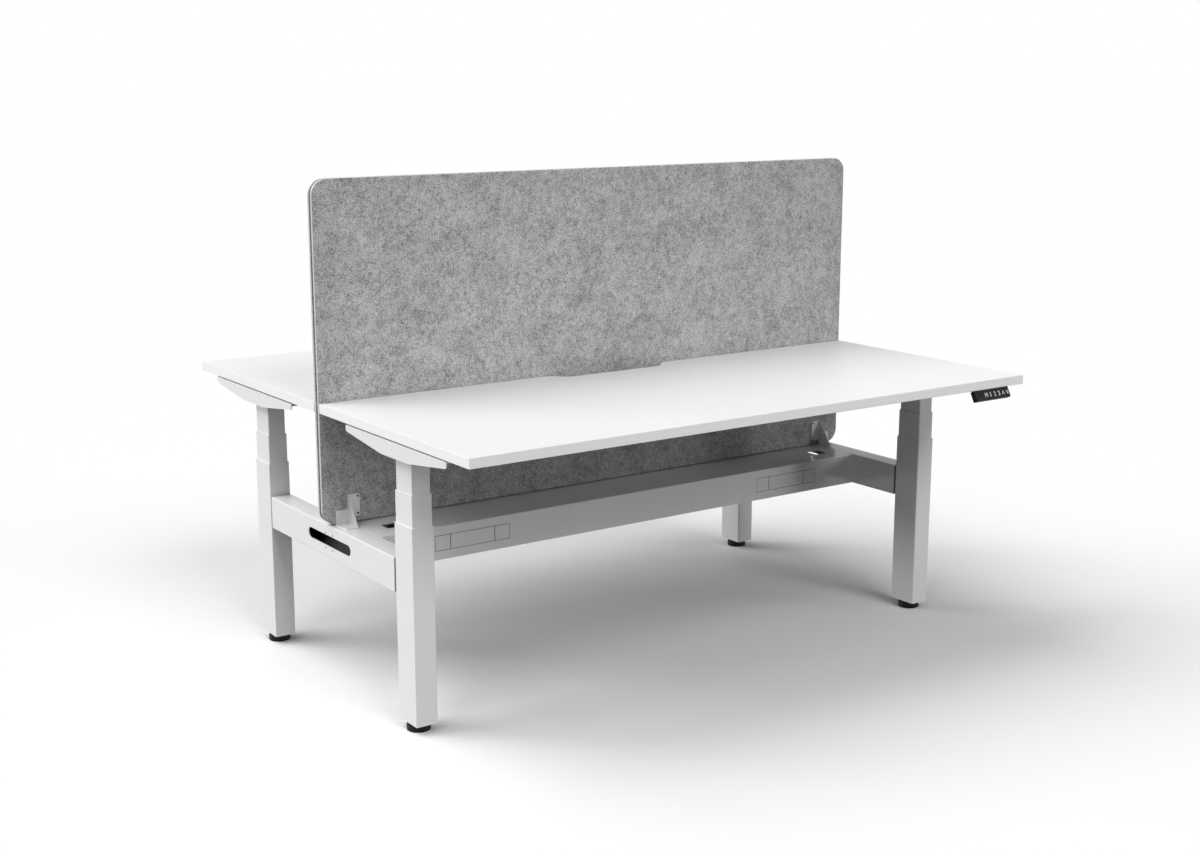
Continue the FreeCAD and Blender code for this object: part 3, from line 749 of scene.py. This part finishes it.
def add_key(row, place, key, text, width, height):
    """A key's cap, and its sign as a thin raised print."""
    low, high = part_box("front_key_" + key)
    middle = (low[0] + high[0]) / 2
    half = (high[0] - low[0]) / 2
    body = row + "_key_" + key
    cap = bmesh.new()
    add_block(
        cap, (-half, -KEY_HEIGHT / 2, -KEY_DEPTH), (half, KEY_HEIGHT / 2, KEY_PROUD), KEY_CORNER, KEY_RIM,
        steps=KEY_CORNER_STEPS)
    add_piece(body + "_cap", cap, KEY_PLASTIC, body, place @ face_place(middle), [body])
    if text in DRAWN_LEGENDS:
        print_shape = DRAWN_LEGENDS[text](width, height)
    else:
        print_shape = letter_shape(text, width, height)
    skin = bmesh.ops.extrude_face_region(print_shape, geom=print_shape.faces[:])["geom"]
    lifted = [item for item in skin if isinstance(item, bmesh.types.BMVert)]
    bmesh.ops.translate(print_shape, vec=(0, 0, LEGEND_LIFT), verts=lifted)
    add_piece(
        body + "_legend", print_shape, PRINT, body,
        place @ face_place(middle, KEY_PROUD - LEGEND_LIFT / 3))


WINDOW_LENGTH = 0.027
WINDOW_HEIGHT = 0.021
WINDOW_FROM_END = 0.006
WINDOW_PROUD = 0.0003
WINDOW_CORNER = 0.002
WINDOW_CORNER_STEPS = 5
WINDOW_RIM = 0.0002


def add_window(row, place):
    """The smoked window over the display, at the left of the keys."""
    shape = bmesh.new()
    half = WINDOW_LENGTH / 2
    rise = WINDOW_HEIGHT / 2
    add_block(
        shape, (-half, -rise, -WINDOW_PROUD), (half, rise, WINDOW_PROUD), WINDOW_CORNER, WINDOW_RIM,
        steps=WINDOW_CORNER_STEPS)
    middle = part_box("front_handset")[0][0] + WINDOW_FROM_END + half
    add_piece(
        row + "_handset_window", shape, WINDOW, row + "_desk", place @ face_place(middle))


# Screws in the brackets, arms, end rails and beam cover

BRACKET_FLANGE = 0.0025
BRACKET_SCREW_INSET = 0.0055
TOP_SCREW_DROP = 0.001
FLANGE_START = 0.017
LOW_SCREW_LIFT = 0.0025
RAIL_SCREW_Y = 0.020
RAIL_SCREW_RISE = 0.0203
RAIL_SCREW_MIDDLE = 0.3895
PAD_SHARES = (-0.44, -0.2, 0.2, 0.44)
COVER_SCREWS = 7
COVER_SCREW_INSET = 0.014


def add_row_screws(row, place):
    for end in ("left", "right"):
        name = end_name(row, end)
        low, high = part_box("front_" + end + "_bracket")
        inner = low[0] if end == "right" else high[0]
        step = BRACKET_SCREW_INSET if end == "right" else -BRACKET_SCREW_INSET
        flange_face = high[1] - BRACKET_FLANGE
        spots = [
            (inner + step, flange_face, high[2] - BRACKET_SCREW_INSET - TOP_SCREW_DROP),
            (inner + step, flange_face, low[2] + FLANGE_START + BRACKET_SCREW_INSET + LOW_SCREW_LIFT),
        ]
        add_screws(
            name + "_bracket_screws", spots, (0, -1, 0), BRACKET_SCREW, BLACK_OXIDE, "base",
            place)
        low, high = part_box("front_" + end + "_arm")
        length = high[1] - low[1]
        middle = (high[1] + low[1]) / 2
        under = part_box("front_" + end + "_inner_column")[1][2]
        spots = [((low[0] + high[0]) / 2, middle + length * share, under) for share in PAD_SHARES]
        add_screws(
            name + "_arm_screws", spots, (0, 0, -1), ARM_SCREW, ZINC, row + "_desk", place)


def add_rail_screws():
    for end, side in (("left", -1), ("right", 1)):
        low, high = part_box("end_rail_" + end)
        face = low[0] if side < 0 else high[0]
        spots = [
            (face, y, RAIL_SCREW_MIDDLE + rise)
            for y in (-RAIL_SCREW_Y, RAIL_SCREW_Y) for rise in (-RAIL_SCREW_RISE, RAIL_SCREW_RISE)]
        add_screws(
            "end_rail_" + end + "_screws", spots, (side, 0, 0), RAIL_SCREW, BLACK_OXIDE, "base")


def add_cover_screws():
    low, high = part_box("beam_cover")
    spots = []
    for index in range(COVER_SCREWS):
        x = low[0] + (high[0] - low[0]) * (index + 0.5) / COVER_SCREWS
        for y in (low[1] + COVER_SCREW_INSET, high[1] - COVER_SCREW_INSET):
            spots.append((x, y, low[2]))
    add_screws("beam_cover_screws", spots, (0, 0, -1), COVER_SCREW, ZINC, "base")


# Drive units: bands and a bearing cap on the motor, measured from its tip, and screws under the gear case

MOTOR_RADIUS = 0.027
MOTOR_BANDS = ((-0.016, -0.003), (-0.146, -0.138))
BAND_PROUD = 0.0007
BAND_SINK = 0.001
BAND_BEVEL = 0.0006
BAND_SIDES = 48
BEARING_CAP = ((0.5, -0.0004), (0.48, 0.0016), (0.3, 0.0018), (0.28, 0.0008))
BEARING_CAP_SIDES = 32
CASE_SCREW_Y = 0.028
CASE_SCREWS_ALONG = (0.010, 0.048)
CASE_SCREW_DROP = 0.049


def add_drive_details(row, place):
    for end in ("left", "right"):
        name = end_name(row, end)
        low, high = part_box("front_" + end + "_drive")
        out = -1 if end == "right" else 1
        tip = low[0] if end == "right" else high[0]
        case = high[0] if end == "right" else low[0]
        axis_y = (low[1] + high[1]) / 2
        axis_z = low[2] + MOTOR_RADIUS
        shape = bmesh.new()
        motor = frame_at((tip, axis_y, axis_z), UP, (out, 0, 0))
        for start, stop in MOTOR_BANDS:
            add_turned(shape, [
                (MOTOR_RADIUS - BAND_SINK, start), (MOTOR_RADIUS + BAND_PROUD, start + BAND_BEVEL),
                (MOTOR_RADIUS + BAND_PROUD, stop - BAND_BEVEL), (MOTOR_RADIUS - BAND_SINK, stop),
            ], BAND_SIDES, motor)
        cap = [(MOTOR_RADIUS * share, height) for share, height in BEARING_CAP]
        add_turned(shape, cap, BEARING_CAP_SIDES, motor)
        add_piece(name + "_motor_bands", shape, ENAMEL, row + "_desk", place)
        spots = [
            (case + out * along, y, high[2] - CASE_SCREW_DROP)
            for y in (axis_y - CASE_SCREW_Y, axis_y + CASE_SCREW_Y) for along in CASE_SCREWS_ALONG]
        add_screws(
            name + "_case_screws", spots, (0, 0, -1), CASE_SCREW, ZINC, row + "_desk", place)


# Control box: a lid with a lip, a row of sockets towards the user, and ear screws

EAR = 0.016
EAR_SCREW_DROP = 0.003
LID_LIP = 0.0006
LID_PROUD = 0.0008
LID_HEIGHT = 0.004
LID_CORNER = 0.004
LID_CORNER_STEPS = 5
SOCKETS = (-0.090, -0.052, -0.014, 0.024)
SOCKET_LIFT = 0.019
SOCKET_WIDTH = 0.018
SOCKET_HEIGHT = 0.013
SOCKET_BAR = 0.0014
SOCKET_SINK = 0.0004
SOCKET_PROUD = 0.0012
SOCKET_ROUND = 0.0002
PLUG_SHARES = (0.45, 0.35)
PLUG_PROUD = 0.0007
PLUG_ROUND = 0.0004
SOCKET_STEPS = 2


def add_socket(frames, place):
    """A socket of four bars round a plug."""
    half = SOCKET_WIDTH / 2
    rise = SOCKET_HEIGHT / 2
    for left, right, bottom, top in (
        (-half, half, rise - SOCKET_BAR, rise), (-half, half, -rise, -rise + SOCKET_BAR),
        (-half, -half + SOCKET_BAR, -rise, rise), (half - SOCKET_BAR, half, -rise, rise),
    ):
        add_block(
            frames, (left, bottom, -SOCKET_SINK), (right, top, SOCKET_PROUD), SOCKET_ROUND, SOCKET_ROUND,
            steps=SOCKET_STEPS, place=place)
    wide = half * PLUG_SHARES[0]
    tall = rise * PLUG_SHARES[1]
    add_block(
        frames, (-wide, -tall, -SOCKET_SINK), (wide, tall, PLUG_PROUD), PLUG_ROUND, steps=SOCKET_STEPS,
        place=place)


def add_control_box(row, place):
    low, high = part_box("front_control_box")
    middle_y = (low[1] + high[1]) / 2
    lid = bmesh.new()
    add_block(
        lid, (low[0] + EAR - LID_LIP, low[1] - LID_LIP, low[2] - LID_PROUD),
        (high[0] - EAR + LID_LIP, high[1] + LID_LIP, low[2] + LID_HEIGHT), LID_CORNER,
        steps=LID_CORNER_STEPS)
    add_piece(row + "_control_box_lid", lid, CASE_PLASTIC, row + "_desk", place)
    frames = bmesh.new()
    for x in SOCKETS:
        add_socket(frames, frame_at((x, low[1], low[2] + SOCKET_LIFT), (1, 0, 0), (0, -1, 0)))
    add_piece(row + "_control_box_sockets", frames, KEY_PLASTIC, row + "_desk", place)
    spots = [(x, middle_y, high[2] - EAR_SCREW_DROP) for x in (low[0] + EAR / 2, high[0] - EAR / 2)]
    add_screws(
        row + "_control_box_screws", spots, (0, 0, -1), EAR_SCREW, ZINC, row + "_desk",
        place)


for row, place in ROWS:
    add_felt(row, place)
    for end in ("left", "right"):
        add_foot(row, end)
    for key, text, width, height in LEGENDS:
        add_key(row, place, key, text, width, height)
    add_window(row, place)
    add_row_screws(row, place)
    add_drive_details(row, place)
    add_control_box(row, place)
add_rail_screws()
add_cover_screws()


# Floor, which the camera sees as a white studio floor with the object's shadow on it

FLOOR_SEEN = 0.805
FLOOR_BOUNCE = 0.20
FLOOR_REACH = 60.0


def seen_ray(tree, *kinds):
    """One where a ray is of any of the kinds, such as Is Camera Ray, and zero elsewhere."""
    path = tree.nodes.new("ShaderNodeLightPath")
    found = path.outputs[kinds[0]]
    for kind in kinds[1:]:
        either = tree.nodes.new("ShaderNodeMath")
        either.operation = "MAXIMUM"
        tree.links.new(found, either.inputs[0])
        tree.links.new(path.outputs[kind], either.inputs[1])
        found = either.outputs[0]
    return found


def studio_floor():
    material = bpy.data.materials.new("studio_floor")
    material.use_nodes = True
    tree = material.node_tree
    tree.nodes.clear()
    output = tree.nodes.new("ShaderNodeOutputMaterial")
    paper = tree.nodes.new("ShaderNodeBsdfDiffuse")
    colour = tree.nodes.new("ShaderNodeMix")
    colour.data_type = "RGBA"
    colour.inputs[MIX_FIRST].default_value = shade(FLOOR_BOUNCE)
    colour.inputs[MIX_SECOND].default_value = shade(FLOOR_SEEN)
    tree.links.new(seen_ray(tree, "Is Camera Ray", "Is Glossy Ray"), colour.inputs[MIX_SHARE])
    tree.links.new(colour.outputs[MIX_RESULT], paper.inputs["Color"])
    tree.links.new(paper.outputs[0], output.inputs[0])
    return material


shape = bmesh.new()
bmesh.ops.create_grid(shape, x_segments=1, y_segments=1, size=FLOOR_REACH)
floor_mesh = bpy.data.meshes.new("studio_floor")
shape.to_mesh(floor_mesh)
shape.free()
floor_mesh.materials.append(studio_floor())
floor = bpy.data.objects.new("studio_floor", floor_mesh)
bpy.context.scene.collection.objects.link(floor)


# Light: broad soft boxes far away, most of it from above, from the left and from the front, and a white
# studio round them that only the camera and the gloss of the coats see. Each box has its height, its turn
# from +X and its spread in degrees, then its strength

SOFT_BOXES = (
    ("high_left_back", 55, 135, 45, 1.78),
    ("high_back", 55, 90, 45, 0.12),
    ("overhead", 76, 180, 40, 0.50),
    ("middle_front", 42, 270, 28, 1.28),
    ("middle_front_left", 42, 207, 28, 0.60),
    ("middle_left", 35, 157, 40, 0.60),
    ("low_left_back", 10, 135, 18, 0.90),
    ("low_front_right", 10, 315, 18, 0.56),
)
GLOSS_LEVEL = 0.7


def studio_world():
    world = bpy.data.worlds.new("studio")
    world.use_nodes = True
    bpy.context.scene.world = world
    tree = world.node_tree
    tree.nodes.clear()
    output = tree.nodes.new("ShaderNodeOutputWorld")
    white = tree.nodes.new("ShaderNodeBackground")
    level = tree.nodes.new("ShaderNodeMix")
    level.data_type = "RGBA"
    level.inputs[MIX_FIRST].default_value = shade(0.0)
    level.inputs[MIX_SECOND].default_value = shade(GLOSS_LEVEL)
    tree.links.new(seen_ray(tree, "Is Glossy Ray", "Is Transmission Ray"), level.inputs[MIX_SHARE])
    backdrop = tree.nodes.new("ShaderNodeMix")
    backdrop.data_type = "RGBA"
    backdrop.inputs[MIX_SECOND].default_value = shade(1.0)
    tree.links.new(seen_ray(tree, "Is Camera Ray"), backdrop.inputs[MIX_SHARE])
    tree.links.new(level.outputs[MIX_RESULT], backdrop.inputs[MIX_FIRST])
    tree.links.new(backdrop.outputs[MIX_RESULT], white.inputs["Color"])
    tree.links.new(white.outputs[0], output.inputs[0])


def add_soft_box(name, rise, turn, spread, strength):
    """A lamp at a height and a turn, in degrees, that spreads over an angle."""
    lamp_data = bpy.data.lights.new(name, "SUN")
    lamp_data.angle = math.radians(spread)
    lamp_data.energy = strength
    lamp = bpy.data.objects.new(name, lamp_data)
    lift = math.radians(rise)
    round_z = math.radians(turn)
    level = math.cos(lift)
    toward = Vector((level * math.cos(round_z), level * math.sin(round_z), math.sin(lift)))
    lamp.rotation_euler = toward.to_track_quat("Z", "Y").to_euler()
    bpy.context.scene.collection.objects.link(lamp)


studio_world()
for box in SOFT_BOXES:
    add_soft_box(*box)

bpy.context.scene.view_settings.view_transform = "Standard"
